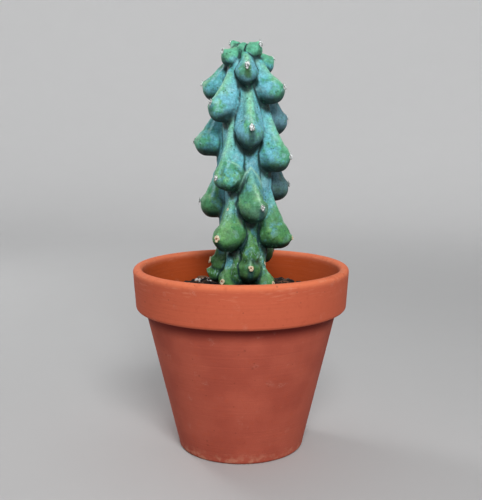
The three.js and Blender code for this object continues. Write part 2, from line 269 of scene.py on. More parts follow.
# Heights between which a finish changes.
SKIN_AGES = (205, 125)
SKIN_CROWN = (243, 258)
BAND_EDGE = (92, 94)
LIP_EDGE = (115, 119)
MOUTH_EDGE = (118.5, 115)

# The inner wall's radius, less this lean with height, lies within these.
INNER_LEAN = 0.229
INNER_WALL = (38, 36.8)

# Colours, as parts of red, green and blue light.
CLAY = {
    "wall": (0.385, 0.075, 0.045), "pale wall": (0.455, 0.097, 0.058), "band": (0.57, 0.116, 0.054),
    "lip": (0.8, 0.21, 0.095), "mottle": (0.45, 0.08, 0.038), "inside": (0.42, 0.062, 0.006),
    # One of these is a painted shadow below the rim band.
    "band_shadow": (0.14, 0.012, 0.009), "worn": (0.74, 0.3, 0.18), "lime": (0.66, 0.4, 0.31),
    "foot": (0.6, 0.27, 0.17), "speck": (0.16, 0.04, 0.022),
}
SKIN = {
    "green": (0.085, 0.34, 0.2), "old green": (0.062, 0.205, 0.06), "crown": (0.115, 0.44, 0.28),
    "patch": (0.17, 0.45, 0.21), "old patch": (0.105, 0.28, 0.068),
    "sea": (0.1, 0.41, 0.46), "old sea": (0.07, 0.27, 0.24),
    "blue": (0.15, 0.43, 0.52), "old blue": (0.085, 0.29, 0.36),
    # Of these, glow is a painted highlight on the ridges.
    "chalk": (0.28, 0.56, 0.6), "olive": (0.045, 0.15, 0.035), "glow": (0.27, 0.62, 0.33),
    # The two underside colours are painted shade.
    "fleck": (0.36, 0.62, 0.62), "underside": (0.09, 0.15, 0.19), "old underside": (0.04, 0.08, 0.05),
    # The first of these is a painted shadow just below the bellies.
    "undercut": (0.004, 0.016, 0.012), "keel": (0.016, 0.06, 0.058), "top keel": (0.022, 0.085, 0.02),
    # The second of these is painted shade in the creases.
    "crest": (0.4, 0.66, 0.46), "crease": (0.008, 0.036, 0.036), "dot": (0.035, 0.15, 0.08),
    # The rim colour is a painted highlight.
    "rim": (0.34, 0.62, 0.5),
}
FELT_ROOT, FELT_WHITE, FELT_GAP = (0.45, 0.46, 0.44), (0.84, 0.88, 0.88), (0.07, 0.085, 0.075)
CORK_BUFF, CORK_CREAM = (0.6, 0.44, 0.26), (0.86, 0.8, 0.6)
CORK_PIT, CORK_MIDDLE = (0.22, 0.12, 0.06), (0.27, 0.08, 0.04)
HORN_DARK, HORN_TIP = (0.06, 0.045, 0.035), (0.55, 0.5, 0.42)
PEAT_DARK, PEAT_BROWN = (0.012, 0.008, 0.006), (0.045, 0.026, 0.016)
EARTH_BARK, EARTH_SAND, CRUMB_BROWN = (0.11, 0.065, 0.04), (0.34, 0.3, 0.26), (0.13, 0.062, 0.034)
BARK_DARK, BARK_BROWN, BARK_GREY = (0.1, 0.042, 0.02), (0.33, 0.18, 0.1), (0.5, 0.34, 0.24)
CHALK_PIT, CHALK_WHITE, CHALK_DUST = (0.36, 0.33, 0.31), (0.84, 0.83, 0.8), (0.2, 0.16, 0.13)
FLOOR_GREY, WALL_GREY, SKY_GREY = (0.5, 0.5, 0.5), (0.8, 0.8, 0.8), (0.8, 0.82, 0.85, 1)

# The studio: its round cove in millimetres, its light in metres and watts.
COVE_MIDDLE = 300
COVE_START = 1000
COVE_ROUND = 800
COVE_HEIGHT = 1500
COVE_SIDES = 96
COVE_BENDS = 16
COVE_PALER = (400, 1500)
SKY_LIGHT = 0.19

# The camera, as it stood for the photograph.
CAMERA_PLACE = (0, -529.3, 213.2)
CAMERA_PITCH = 8.95
CAMERA_LENS = 59.29
CAMERA_SENSOR = 36


# Small tools.

def smooth_min(a, b, reach):
    """The smaller of two fields, with the edge between them rounded over a reach."""
    share = np.clip(0.5 + 0.5 * (b - a) / reach, 0, 1)
    return b + (a - b) * share - reach * share * (1 - share)


def window(value, low, high):
    """0 below low, 1 above high, and a smooth step between. Low may be the larger."""
    t = np.clip((value - low) / (high - low), 0, 1)
    return t * t * (3 - 2 * t)


def bell(value, width):
    """1 where the value is 0, falling off on both sides over a width."""
    return np.exp(-(value / width) ** 2)


def lattice(i, j, k, seed):
    """A repeatable number from 0 to 1 for each point of a whole-number grid."""
    n = (i * 374761393 + j * 668265263 + k * 1103515245 + seed * 12345677) & 0xFFFFFFFF
    n = ((n ^ (n >> 13)) * 1274126177) & 0xFFFFFFFF
    return ((n ^ (n >> 16)) & 0xFFFF) / 65535


def soft_noise(points, size, seed):
    """Smooth noise from -1 to 1 at each point, in blobs about this size across."""
    scaled = points / size
    cell = np.floor(scaled).astype(np.int64)
    inside = scaled - cell
    inside = inside * inside * (3 - 2 * inside)
    total = np.zeros(len(points))
    for corner in np.ndindex(2, 2, 2):
        weight = np.prod(np.where(corner, inside, 1 - inside), axis=1)
        total += weight * lattice(*(cell + corner).T, seed)
    return 2 * total - 1


def below_top(points):
    """The points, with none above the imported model's top."""
    return np.minimum(points, [np.inf, np.inf, TOP])


def linked(name, data):
    """A new object in the scene, made of this data."""
    made = bpy.data.objects.new(name, data)
    bpy.context.scene.collection.objects.link(made)
    return made


def mesh_object(name, points, faces, material, smooth=True):
    """A mesh from points in millimetres."""
    mesh = bpy.data.meshes.new(name)
    mesh.from_pydata((np.asarray(points, float) * MM).tolist(), [], [list(f) for f in faces])
    mesh.polygons.foreach_set("use_smooth", [smooth] * len(mesh.polygons))
    mesh.update()
    mesh.materials.append(material)
    return linked(name, mesh)


def mesh_piece(name, points, faces, slot, material, node=None, smooth=True):
    """A mesh that rides with the pot, and stands for a node if one is named."""
    piece = mesh_object(name, points, faces, material, smooth)
    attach(piece, "root")
    if node:
        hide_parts(node)
    return piece


def give_mask(piece, name, values):
    """A number for each point of the mesh, which a material can read."""
    layer = piece.data.attributes.new(name, "FLOAT", "POINT")
    layer.data.foreach_set("value", np.asarray(values, np.float32))


# Shader maths.

class Socket:
    """A value inside a material. Arithmetic on it adds the Math nodes that work it out."""

    def __init__(self, finish, socket):
        self.finish = finish
        self.socket = socket

    def math(self, operation, *others):
        inputs = dict(enumerate((self, *others)))
        return self.finish.node("Math", inputs, operation=operation)

    def __add__(self, other):
        return self.math("ADD", other)

    def __sub__(self, other):
        return self.math("SUBTRACT", other)

    def __rsub__(self, other):
        return (self * -1) + other

    def __mul__(self, other):
        return self.math("MULTIPLY", other)

    __radd__ = __add__
    __rmul__ = __mul__

    def clamped(self):
        return self.finish.node("Clamp", {0: self})

    def step(self, low, high):
        """0 below low, 1 above high, and a smooth step between. Low may be the larger."""
        inputs = {0: self, 1: low, 2: high}
        return self.finish.node("MapRange", inputs, interpolation_type="SMOOTHSTEP")


class Finish:
    """One material: a principled shader and the nodes that feed it."""

    def __init__(self, name, **fixed):
        self.material = bpy.data.materials.new(name)
        self.material.use_nodes = True
        self.tree = self.material.node_tree
        self.shader = self.tree.nodes["Principled BSDF"]
        for key, value in fixed.items():
            self.shader.inputs[key.replace("_", " ")].default_value = value

    def node(self, kind, inputs=None, output=0, **settings):
        """A node of this type, with its settings and the values or links of its inputs."""
        made = self.tree.nodes.new("ShaderNode" + kind)
        for key, value in settings.items():
            setattr(made, key, value)
        for key, value in (inputs or {}).items():
            self.feed(made.inputs[key], value)
        return Socket(self, made.outputs[output])

    def feed(self, target, value):
        if isinstance(value, Socket):
            self.tree.links.new(value.socket, target)
        elif target.type == "RGBA" and len(value) == 3:
            target.default_value = (*value, 1)
        else:
            target.default_value = value

    def place(self):
        """Where the shaded point is on the piece, in millimetres."""
        where = self.node("TexCoord", output="Object")
        return self.node("VectorMath", {0: where, "Scale": 1 / MM}, operation="SCALE")

    def stretched(self, along):
        """The same place, squeezed along X, Y and Z by these factors."""
        return self.node("VectorMath", {0: self.place(), 1: along}, operation="MULTIPLY")

    def shifted(self, place, seed, shift):
        """The place moved by a shift for each seed, so that no two noises are alike."""
        inputs = {0: place, 1: tuple(seed * part for part in shift)}
        return self.node("VectorMath", inputs)

    def mask(self, name):
        return self.node("Attribute", output="Fac", attribute_name=name)

    def height(self):
        return self.node("SeparateXYZ", {0: self.place()}, output="Z")

    def across(self):
        """How far the shaded point is from the Z axis."""
        return self.node("VectorMath", {0: self.stretched((1, 1, 0))}, output="Value", operation="LENGTH")

    def noise(self, size, detail=3, place=None, roughness=0.5, seed=0):
        """Noise from 0 to 1 in blobs of about this size in millimetres."""
        moved = self.shifted(place or self.place(), seed, (37.1, 17.3, 5.7))
        inputs = {"Vector": moved, "Scale": 1 / size, "Detail": detail, "Roughness": roughness}
        return self.node("TexNoise", inputs)

    def specks(self, spacing, size, seed=0):
        """1 inside small round specks that lie about this far apart, fading out at their edges."""
        moved = self.shifted(self.place(), seed, (11.3, 7.9, 3.1))
        distance = self.node("TexVoronoi", {"Vector": moved, "Scale": 1 / spacing})
        return distance.step(size / spacing, 0.6 * size / spacing)

    def mix(self, first, second, factor, **settings):
        """A colour between two others. On a colour Mix node, sockets 6 and 7 hold them."""
        inputs = {0: factor, 6: first, 7: second}
        return self.node("Mix", inputs, output=2, data_type="RGBA", **settings)

    def coats(self, colour, *coats):
        """The colour with more laid over it, each by an amount from 0 to 1."""
        for tint, amount in coats:
            colour = self.mix(colour, tint, amount)
        return colour

    def shade(self, colour, amount):
        """The colour made lighter or darker by a factor."""
        grey = self.node("CombineColor", {0: amount, 1: amount, 2: amount})
        return self.mix(colour, grey, 1.0, blend_type="MULTIPLY")

    def bump(self, height, distance, under=None):
        """Relief of this depth in millimetres, on top of another if one is given."""
        inputs = {"Height": height, "Distance": distance * MM}
        if under:
            inputs["Normal"] = under
        return self.node("Bump", inputs)

    def paint(self, **links):
        for key, value in links.items():
            self.feed(self.shader.inputs[key.replace("_", " ")], value)
        return self.material


# Finishes.

def terracotta():
    """Unglazed orange clay: fine turning lines, cloudy tone, dark specks, a scuffed, limy lip and a
    painted shadow below the rim band.
    """
    clay = Finish("terracotta", Specular_IOR_Level=0.2)
    height = clay.height()
    clouds = clay.noise(26, detail=4)
    mottle = clay.noise(3.5, detail=4, seed=2)
    lines = clay.noise(1, place=clay.stretched((0.012, 0.012, 0.9)), seed=4)
    grit = clay.noise(0.45, detail=2, seed=6)
    scuffs = clay.noise(1.6, detail=5, place=clay.stretched((0.16, 0.16, 1.1)), seed=9)
    # The inner wall below the lip is painted a deeper, darker orange.
    inner = (clay.across() - height * INNER_LEAN).step(*INNER_WALL) * height.step(*MOUTH_EDGE)
    # Painted shadow on the outer wall just below the rim band.
    band_shadow = height.step(82, 91) * height.step(93.2, 92.4) * (1 - inner)
    base = clay.coats(
        clay.mix(CLAY["wall"], CLAY["pale wall"], clouds.step(0.35, 0.68)),
        (CLAY["band"], height.step(*BAND_EDGE) * 0.75),
        (CLAY["lip"], height.step(*LIP_EDGE) * 0.75),
        (CLAY["mottle"], mottle.step(0.52, 0.78) * 0.4),
        (CLAY["inside"], inner * 0.94),
        (CLAY["band_shadow"], band_shadow * 0.9))
    base = clay.shade(base, 0.93 + lines * 0.13)
    base = clay.shade(base, 0.95 + grit * 0.1)
    worn = height.step(104, 118) * scuffs.step(0.54, 0.7) * (1 - inner * 0.85)
    lime = clay.noise(9, detail=6, seed=12).step(0.6, 0.78)
    lime = lime * clay.noise(0.8, detail=2, seed=13).step(0.4, 0.6)
    dusty = height.step(9, 1) * clay.noise(4, seed=15).step(0.45, 0.65)
    dark = clay.specks(7, 0.55) + clay.specks(12, 0.9, seed=3) * 0.8
    base = clay.coats(
        base,
        (CLAY["worn"], worn * 0.3),
        (CLAY["lime"], lime * 0.22),
        (CLAY["foot"], dusty * 0.5),
        (CLAY["speck"], dark.clamped() * 0.45))
    relief = clay.bump(lines, 0.16)
    relief = clay.bump(grit + mottle * 0.6, 0.07, under=relief)
    rough = 0.74 + clouds * 0.1 + grit * 0.08
    return clay.paint(Base_Color=base, Roughness=rough, Normal=relief)


def skin_signs(skin):
    """The masks and noises that the skin's colours are worked out from."""
    at = SimpleNamespace(**{name: skin.mask(name) for name in SKIN_MASKS})
    at.height = skin.height()
    at.age = at.height.step(*SKIN_AGES) * (1 - at.column * 0.5)
    at.crown = at.height.step(*SKIN_CROWN)
    at.patches = skin.noise(10, seed=1)
    at.clouds = skin.noise(4.5, detail=5, seed=3, roughness=0.6)
    at.streaks = skin.noise(2.4, detail=4, place=skin.stretched((1, 1, 0.4)), seed=4)
    return at


def bare_skin(skin, at):
    """Green skin: cool when young, olive when old, brighter at the crown and in patches."""
    green = skin.mix(SKIN["green"], SKIN["old green"], at.age)
    patch = skin.mix(SKIN["patch"], SKIN["old patch"], at.age)
    patched = at.patches.step(0.48, 0.62) * 0.7 * (1 - at.crown)
    return skin.coats(green, (SKIN["crown"], at.crown), (patch, patched))


def bloom(skin, at):
    """The waxy bloom on it, from sea green to blue."""
    sea = skin.mix(SKIN["sea"], SKIN["old sea"], at.age)
    blue = skin.mix(SKIN["blue"], SKIN["old blue"], at.age)
    blueness = at.clouds * 0.7 + at.patches * 0.6 + at.tone * 0.1 + at.column * 0.2 - at.crown * 0.2
    return skin.mix(sea, blue, blueness.step(0.5, 0.8))


def bloom_kept(at):
    """How much bloom is left. It rubs off with age, at the tips and crests and on the crown."""
    kept = 0.86 - at.age * 0.36 - at.age * at.belly * 0.4 + at.column * 0.35
    kept = kept - at.tip * 0.62 - at.crest * 0.3 + at.tone * 0.22 - at.crown * 0.55
    uneven = (at.clouds - 0.5) * 1.9 + (at.patches - 0.5) * 1.6 + (at.streaks - 0.5) * 0.8
    return kept + uneven * (1 - at.crown * 0.5)


def weathered_and_lit(skin, at, colour):
    """Chalky and olive patches, lit ridges and columns, and pale flecks in the folds."""
    chalky = skin.noise(6, seed=21).step(0.55, 0.66) * (1 - at.age * 0.6) * (1 - at.crown)
    olive = skin.noise(5, detail=4, seed=22).step(0.53, 0.66) * (0.25 + at.age * 0.75)
    # Painted highlight along the ridges and the upper columns.
    glow = at.ridge * (0.35 + at.patches * 0.9 + at.tone * 0.25)
    glow = glow + at.column * at.patches.step(0.42, 0.6) * at.height.step(196, 212)
    glow = glow * (1 - at.age * 0.95)
    flecks = skin.noise(1.2, place=skin.stretched((1, 1, 0.5)), seed=8).step(0.56, 0.66)
    folds = (at.hollow + at.seam + at.age * (1 - at.belly) * 0.7).clamped()
    return skin.coats(
        colour,
        (SKIN["chalk"], chalky * 0.5),
        (SKIN["olive"], olive * 0.55),
        (SKIN["glow"], glow.clamped() * 0.7),
        (SKIN["fleck"], flecks * folds * (1 - at.crown) * 0.75))


def shadows_and_keel(skin, at, colour):
    """Painted shade on the undersides, a painted shadow just below the bellies, and a dark keel under each
    areole.
    """
    underside = skin.mix(SKIN["underside"], SKIN["old underside"], at.age)
    # Painted shade on the bellies' lower parts and where little light reaches.
    underside_shade = (at.under * (0.22 + at.streaks * 0.3) + at.shade * (0.15 - at.column * 0.11)).clamped()
    # Painted shadow just below each belly.
    undercut = at.undercut * (0.75 + at.clouds * 0.5).clamped()
    keel = skin.mix(SKIN["keel"], SKIN["top keel"], at.height.step(225, 235))
    return skin.coats(
        colour,
        (underside, underside_shade * (1 - at.crown * 0.7) * 0.78),
        (SKIN["undercut"], undercut * 0.96),
        (keel, at.stripe * 0.9))


def marked(skin, at, colour):
    """Pale crests, painted highlights on the shields' rims, painted shade in the creases, and small dark
    dots.
    """
    # Painted shade along the seams and joints and in the hollows.
    crease = at.seam * 0.9 + at.joint * 0.85 + at.hollow.step(0.4, 0.95) * (0.55 - at.crown * 0.4)
    dots = skin.specks(2.6, 0.75, seed=2) * skin.noise(7, detail=2, seed=31).step(0.46, 0.56)
    return skin.coats(
        colour,
        (SKIN["crest"], at.crest * at.streaks.step(0.36, 0.5) * 0.65),
        (SKIN["crease"], crease.clamped()),
        (SKIN["dot"], dots * 0.75),
        (SKIN["rim"], at.edge.clamped() * 0.85))


def cactus_skin():
    """Waxy skin: a blue bloom in the hollows and on the flanks, green where it has rubbed off."""
    skin = Finish("cactus_skin", Specular_IOR_Level=0.3)
    at = skin_signs(skin)
    kept = bloom_kept(at)
    colour = skin.mix(bare_skin(skin, at), bloom(skin, at), kept.step(0.14, 0.76))
    for layer in (weathered_and_lit, shadows_and_keel, marked):
        colour = layer(skin, at, colour)
    fine = skin.noise(0.8, seed=5)
    mottle = skin.noise(2.2, detail=5, seed=9, roughness=0.7).step(0.36, 0.64)
    grain = skin.noise(1.1, seed=10, roughness=0.6).step(0.36, 0.64)
    colour = skin.shade(colour, 0.6 + at.age * 0.06 + at.streaks * 0.26 + mottle * 0.38 + grain * 0.28)
    relief = skin.bump(at.clouds + at.streaks * 0.4 + mottle * 0.12, 0.5)
    relief = skin.bump(fine, 0.08, under=relief)
    rough = 0.44 + kept.step(0.1, 0.8) * 0.16 + fine * 0.08
    return skin.paint(Base_Color=colour, Roughness=rough, Normal=relief)


def wool():
    """White felt of the young areoles, greyer at its root."""
    felt = Finish("areole_wool", Sheen_Weight=0.3)
    gaps = felt.noise(1.1, seed=3).step(0.48, 0.54)
    colour = felt.mix(FELT_ROOT, FELT_WHITE, felt.mask("lift").step(0.1, 0.5))
    return felt.paint(Base_Color=felt.mix(colour, FELT_GAP, gaps * 0.8), Roughness=0.95)


def cork():
    """Old corky areole: cream rim, red-brown middle."""
    crust = Finish("areole_cork")
    grain, pits = crust.noise(0.5, detail=4), crust.noise(0.9, seed=4)
    middle = crust.mask("middle") + (pits - 0.5) * 1.4
    colour = crust.coats(
        crust.mix(CORK_BUFF, CORK_CREAM, grain.step(0.42, 0.58)),
        (CORK_PIT, pits.step(0.58, 0.68) * 0.8),
        (CORK_MIDDLE, middle.step(0.5, 0.8)))
    return crust.paint(Base_Color=colour, Roughness=0.9, Normal=crust.bump(grain, 0.2))


def horn():
    """Dark spines with paler horny tips."""
    spine = Finish("areole_spine")
    colour = spine.mix(HORN_DARK, HORN_TIP, spine.mask("lift").step(0.4, 0.9))
    return spine.paint(Base_Color=colour, Roughness=0.4)


def soil():
    """Dark gritty mix of peat, sand and crumbled bark."""
    earth = Finish("potting_soil")
    clumps, grains = earth.noise(4, detail=5), earth.noise(0.7, detail=4, seed=2)
    colour = earth.coats(
        earth.mix(PEAT_DARK, PEAT_BROWN, clumps.step(0.35, 0.7)),
        (EARTH_BARK, grains.step(0.6, 0.74) * 0.7),
        (EARTH_SAND, earth.specks(2.4, 0.3, seed=5)))
    return earth.paint(Base_Color=colour, Roughness=0.95, Normal=earth.bump(grains, 0.5))


def grit():
    """Loose soil crumbs, each with a tone of its own."""
    crumb = Finish("soil_crumbs")
    grains = crumb.noise(0.5)
    colour = crumb.mix(PEAT_DARK, CRUMB_BROWN, crumb.mask("tone").step(-0.2, 1))
    colour = crumb.shade(colour, 0.7 + grains * 0.6)
    return crumb.paint(Base_Color=colour, Roughness=0.93, Normal=crumb.bump(grains, 0.15))


def bark():
    """Weathered brown bark with a dark, layered grain."""
    wood = Finish("bark")
    grain = wood.noise(1, detail=5, place=wood.stretched((0.35, 0.9, 2.2)), roughness=0.65)
    colour = wood.mix(BARK_DARK, BARK_BROWN, grain.step(0.36, 0.66))
    colour = wood.mix(colour, BARK_GREY, wood.noise(5, seed=2).step(0.55, 0.75) * 0.6)
    return wood.paint(Base_Color=colour, Roughness=0.88, Normal=wood.bump(grain, 0.5))


def perlite():
    """Chalky, pitted white grains, dusted grey by the soil."""
    chalk = Finish("perlite")
    pits, dust = chalk.noise(0.4, detail=4), chalk.noise(1.8, seed=3)
    colour = chalk.mix(CHALK_PIT, CHALK_WHITE, pits.step(0.38, 0.55))
    colour = chalk.mix(colour, CHALK_DUST, dust.step(0.56, 0.72) * 0.7)
    return chalk.paint(Base_Color=colour, Roughness=0.97, Normal=chalk.bump(pits, 0.3))


# The cactus.

def stem_radius(height):
    """The stem's radius on a rib's crest, between the tubercles."""
    radii, heights = np.array(STEM_OUTLINE, float).T
    levels = np.linspace(heights[0], heights[-1], STEM_LEVELS)
    padded = np.pad(np.interp(levels, heights, radii), STEM_ROUNDING // 2, mode="edge")
    weights = np.hanning(STEM_ROUNDING)
    return np.interp(height, levels, np.convolve(padded, weights / weights.sum(), mode="valid"))


def rib_turn(rib, height):
    """The rib's turn at a height: it runs from tubercle to tubercle."""
    heights, turns = [row[0] for row in rib[:0:-1]], [row[1] for row in rib[:0:-1]]
    return np.radians(np.interp(height, heights, turns))


def round_stem(turn, distance, height):
    """A point at a turn in radians, distance and height round the stem's axis."""
    return np.stack([STEM_X + distance * np.sin(turn), -distance * np.cos(turn), height], axis=-1)


def lobe_field(points, rib):
    """Below 0 inside the rib's own round lobe, which tubercles grow on."""
    radius = stem_radius(points[:, 2])
    lobe = radius * LOBE_SHARE
    turn = rib_turn(rib, points[:, 2])
    away = (points - round_stem(turn, radius - lobe, points[:, 2]))[:, :2].T
    aside = away[0] * np.cos(turn) + away[1] * np.sin(turn)
    groove = FURROW_DEPTH * bell(aside, FURROW_WIDTH)
    return np.maximum(np.hypot(*away) - lobe + groove, points[:, 2] - STEM_TOP)


def full_row(tubercle):
    """A tubercle's row with the optional numbers filled in."""
    return [*tubercle, *(APEX_LIFT, 0)[len(tubercle) - 6:]]


def has_shield(tubercle):
    """Whether the tubercle's apex stands out of the rib like the top of a shield."""
    return SHIELD_LIFT < full_row(tubercle)[6] < COLUMN_LIFT


def tubercle_frame(points, tubercle):
    """Outwards, sideways and upwards from the stem's axis at the areole's height."""
    height, turn = tubercle[0], math.radians(tubercle[1])
    x, y = points[:, 0] - STEM_X, points[:, 1]
    out = x * math.sin(turn) - y * math.cos(turn)
    side = x * math.cos(turn) + y * math.sin(turn)
    return out, side, points[:, 2] - height


def leaning_frame(points, tubercle):
    """The same, with the side measured from a middle that leans over to the areole."""
    reach, girth = tubercle[2:4]
    out, side, up = tubercle_frame(points, tubercle)
    return out, side - full_row(tubercle)[7] * np.maximum(0, (out - reach + girth) / girth), up


def half_width(up, tubercle):
    """Half the tubercle's width as seen from the front, at a height above the areole.

    The shoulders are nearly straight on a young tubercle and broad on a shield.
    """
    girth, sag, climb, lift = full_row(tubercle)[3:7]
    curve = SHIELD_CURVE if lift > SHIELD_LIFT else SHOULDER_CURVE
    if climb < YOUNG_CLIMB:
        curve = YOUNG_CURVE
    level = np.clip((climb - up) / (climb + sag), 0, 1)
    return girth * (1 - (1 - level) ** curve)


def shield_field(points, tubercle, lobe):
    """Below 0 inside the low plate that carries a tubercle with a clear apex on its rib."""
    sag, climb = tubercle[4:6]
    _, side, up = tubercle_frame(points, tubercle)
    beside = SHIELD_SLOPE * (np.abs(side) - half_width(up, tubercle))
    edge = np.where(up > climb, np.hypot(side, up - climb), beside)
    return -smooth_min(SHIELD_RISE - lobe, -np.maximum(edge, -up - sag), SHIELD_ROUND)


def belly_field(out, side, rise, tubercle):
    """Below 0 inside the belly: blocky at the crown, pointed below on a young front one, else broad."""
    height, turn, _, girth, _, climb = tubercle[:6]
    if climb < CROWN_CLIMB and height > CROWN_FROM:
        flat = above = below = BLOCKY
        rise = (rise - BLOCK_TILT * out) / BLOCK_STRETCH
    else:
        flat, above, below = 2, 2, BROAD
        rise = rise / np.where(rise < 0, BELLY_STRETCH, BELLY_SQUASH)
        if height > OLD_BELOW and abs(turn) < FRONT_TURN:
            low, below = np.clip(-rise / girth, 0, LOWEST), DEEP
            side = side * (1 - low ** DEEP) ** (1 / DEEP) / (1 - low ** POINTED) ** (1 / POINTED)
        out = np.where(out < 0, np.minimum(out + BELLY_DEPTH * girth, 0), out)
    level = (np.abs(out) ** flat + np.abs(side) ** flat) ** (1 / flat)
    power = np.where(rise < 0, below, above)
    return (level ** power + np.abs(rise) ** power) ** (1 / power) - girth


def wedge_field(out, side, up, apex_reach, tubercle):
    """Below 0 inside the wedge that runs from the apex down to the belly, with a round crest."""
    reach, climb = tubercle[2], tubercle[5]
    half = half_width(up, tubercle)
    front = apex_reach + (reach - apex_reach) * np.clip((climb - up) / climb, 0, 1)
    crest = front - CREST_SHARE * half - CREST_INSET
    hollow = front - half - CREST_INSET - THIN
    along = np.clip((crest - out) / (crest - hollow), 0, 1)
    width = CREST_SHARE * half + along * (1 - CREST_SHARE) * half
    return np.hypot(out - crest - along * (hollow - crest), side) - width + np.maximum(0, up - climb)


def roof_field(out, side, up, apex_reach, tubercle):
    """Below 0 under the roof that slopes from the apex to the areole."""
    reach, rise = tubercle[2], tubercle[5]
    run = reach - apex_reach
    slant = (rise * (out - reach) + run * up) / math.hypot(rise, run)
    return slant + ROOF_SLOPE * (np.hypot(side, 1) - 1) - ROOF_INSET


def tip_field(out, side, up, tubercle):
    """Below 0 inside the cone that runs from the belly to the areole."""
    reach, girth, sag, climb = tubercle[2:6]
    root = min(0.86 * girth, TIP_DROP * sag + 0.8 * climb)
    start = np.array([reach - girth, 0, -TIP_DROP * sag])
    axis = np.array([reach - TIP_ROUND + TIP_LENGTH, 0, 0]) - start
    offset = np.stack([out, side, up], axis=1) - start
    along = np.clip(offset @ axis / np.dot(axis, axis), 0, 1)
    away = np.linalg.norm(offset - along[:, None] * axis, axis=1)
    return away - root - along * (TIP_ROUND - root)


def tubercle_field(points, tubercle):
    """Below 0 inside a tubercle: a half ellipse seen from the front, down to its round belly."""
    height, _, reach, girth, sag, climb, lift, _ = full_row(tubercle)
    out, side, up = leaning_frame(points, tubercle)
    apex_reach = min(stem_radius(height + climb) + lift, reach - girth * APEX_INSET)
    middle = up + sag - BELLY_RISE * girth
    belly = belly_field(out - reach + BELLY_INSET * girth, side, middle, tubercle)
    belly = -smooth_min(-belly, -roof_field(out, side, up, apex_reach, tubercle), ROOF_BLEND)
    wedge = wedge_field(out, side, up, apex_reach, tubercle)
    body = smooth_min(np.where(middle < 0, FAR, wedge), belly, BODY_BLEND)
    return smooth_min(body, tip_field(out, side, up, tubercle), TIP_BLEND)


def reach_box(points, tubercle):
    """The points near enough to a tubercle for its field to count."""
    height, turn, reach, girth, sag, climb = tubercle[:6]
    middle = round_stem(math.radians(turn), reach - girth, height + (climb - sag - girth) / 2)
    room = np.array([girth + 10, girth + 10, (climb + sag + girth) / 2 + 8])
    return np.all(np.abs(points - middle) < room, axis=1)


def rib_fields(points):
    """For each rib, the field of its lobe and of each of its tubercles."""
    fields = []
    for name, rib in RIBS.items():
        grown = np.full((len(rib), len(points)), FAR)
        lobe = lobe_field(points, rib)
        for row, tubercle in enumerate(rib):
            near = reach_box(points, tubercle)
            grown[row, near] = tubercle_field(points[near], tubercle)
        for swelling in SWELLINGS.get(name, []):
            near = reach_box(points, swelling)
            lobe[near] = smooth_min(lobe[near], tubercle_field(points[near], swelling), SWELLING_BLEND)
        fields.append((lobe, grown))
    return fields


def cactus_field(points):
    """Below 0 inside the cactus."""
    total = np.hypot(points[:, 0] - STEM_X, points[:, 1]) - CORE_SHARE * stem_radius(points[:, 2])
    total = np.maximum(total, points[:, 2] - STEM_TOP)
    for rib, (lobe, grown) in zip(RIBS.values(), rib_fields(points)):
        for tubercle, bump in zip(rib, grown):
            soft = APEX_BLEND - BELLY_BLEND
            if has_shield(tubercle):
                soft = 0
                near = reach_box(points, tubercle)
                plate = shield_field(points[near], tubercle, lobe[near])
                lobe[near] = smooth_min(lobe[near], plate, SHIELD_BLEND)
            blend = BELLY_BLEND + soft * window(points[:, 2] - tubercle[0], 0, tubercle[5])
            lobe = smooth_min(lobe, bump, blend)
        total = smooth_min(total, lobe, CREASE_BLEND)
    return total


def net_points(field):
    """A point in each cell of a grid that the surface crosses, and the number of each cell's point."""
    inside = field < 0
    size = np.array(field.shape) - 1
    pick = {c: tuple(slice(a, a + n) for a, n in zip(c, size)) for c in np.ndindex(2, 2, 2)}
    count = sum(inside[cells].astype(np.int8) for cells in pick.values())
    active = (count > 0) & (count < 8)
    index = np.full(active.shape, -1)
    index[active] = np.arange(active.sum())
    total, crossings = np.zeros((active.sum(), 3)), np.zeros(active.sum())
    for c, axis in [(c, axis) for c in pick for axis in range(3) if not c[axis]]:
        d = tuple(1 if i == axis else v for i, v in enumerate(c))
        a, b = field[pick[c]][active], field[pick[d]][active]
        crosses = (a < 0) != (b < 0)
        share = np.where(crosses, a / np.where(crosses, a - b, 1), 0)
        total[crosses] += np.array(c) + share[crosses, None] * (np.array(d) - c)
        crossings += crosses
    return np.argwhere(active) + total / crossings[:, None], index


def net_faces(inside, index):
    """A four-sided face round each edge of the grid that the surface crosses."""
    size = np.array(inside.shape) - 1
    faces = []
    for axis in range(3):
        u, v = (axis + 1) % 3, (axis + 2) % 3
        low = [slice(1, n) for n in size]
        low[axis] = slice(0, size[axis])
        high = list(low)
        high[axis] = slice(1, size[axis] + 1)
        a, b = inside[tuple(low)], inside[tuple(high)]
        ring = []
        for du, dv in ((0, 0), (1, 0), (1, 1), (0, 1)):
            cell = np.argwhere(a != b)
            cell[:, u] += du
            cell[:, v] += dv
            ring.append(index[tuple(cell.T)])
        ring = np.stack(ring, axis=1)
        turned_in = b[a != b]
        ring[turned_in] = ring[turned_in][:, ::-1]
        faces.append(ring)
    return np.concatenate(faces)


def slope(points):
    """Which way the cactus field rises at each point, and how fast."""
    ways = np.array(NUDGE_WAYS, float)
    return sum(cactus_field(points + NUDGE * way)[:, None] * way for way in ways) / (4 * NUDGE)


def outward(points):
    """The way out of the skin at each point, of length 1."""
    ways = slope(points)
    return ways / np.maximum(np.linalg.norm(ways, axis=1), 1e-6)[:, None]


def neighbour_mean(points, faces):
    """The mean place of the points that share an edge with each point."""
    total, count = np.zeros_like(points), np.zeros(len(points))
    for i in range(4):
        a, b = faces[:, i], faces[:, (i + 1) % 4]
        for first, second in ((a, b), (b, a)):
            np.add.at(total, first, points[second])
            np.add.at(count, first, 1)
    return total / count[:, None]


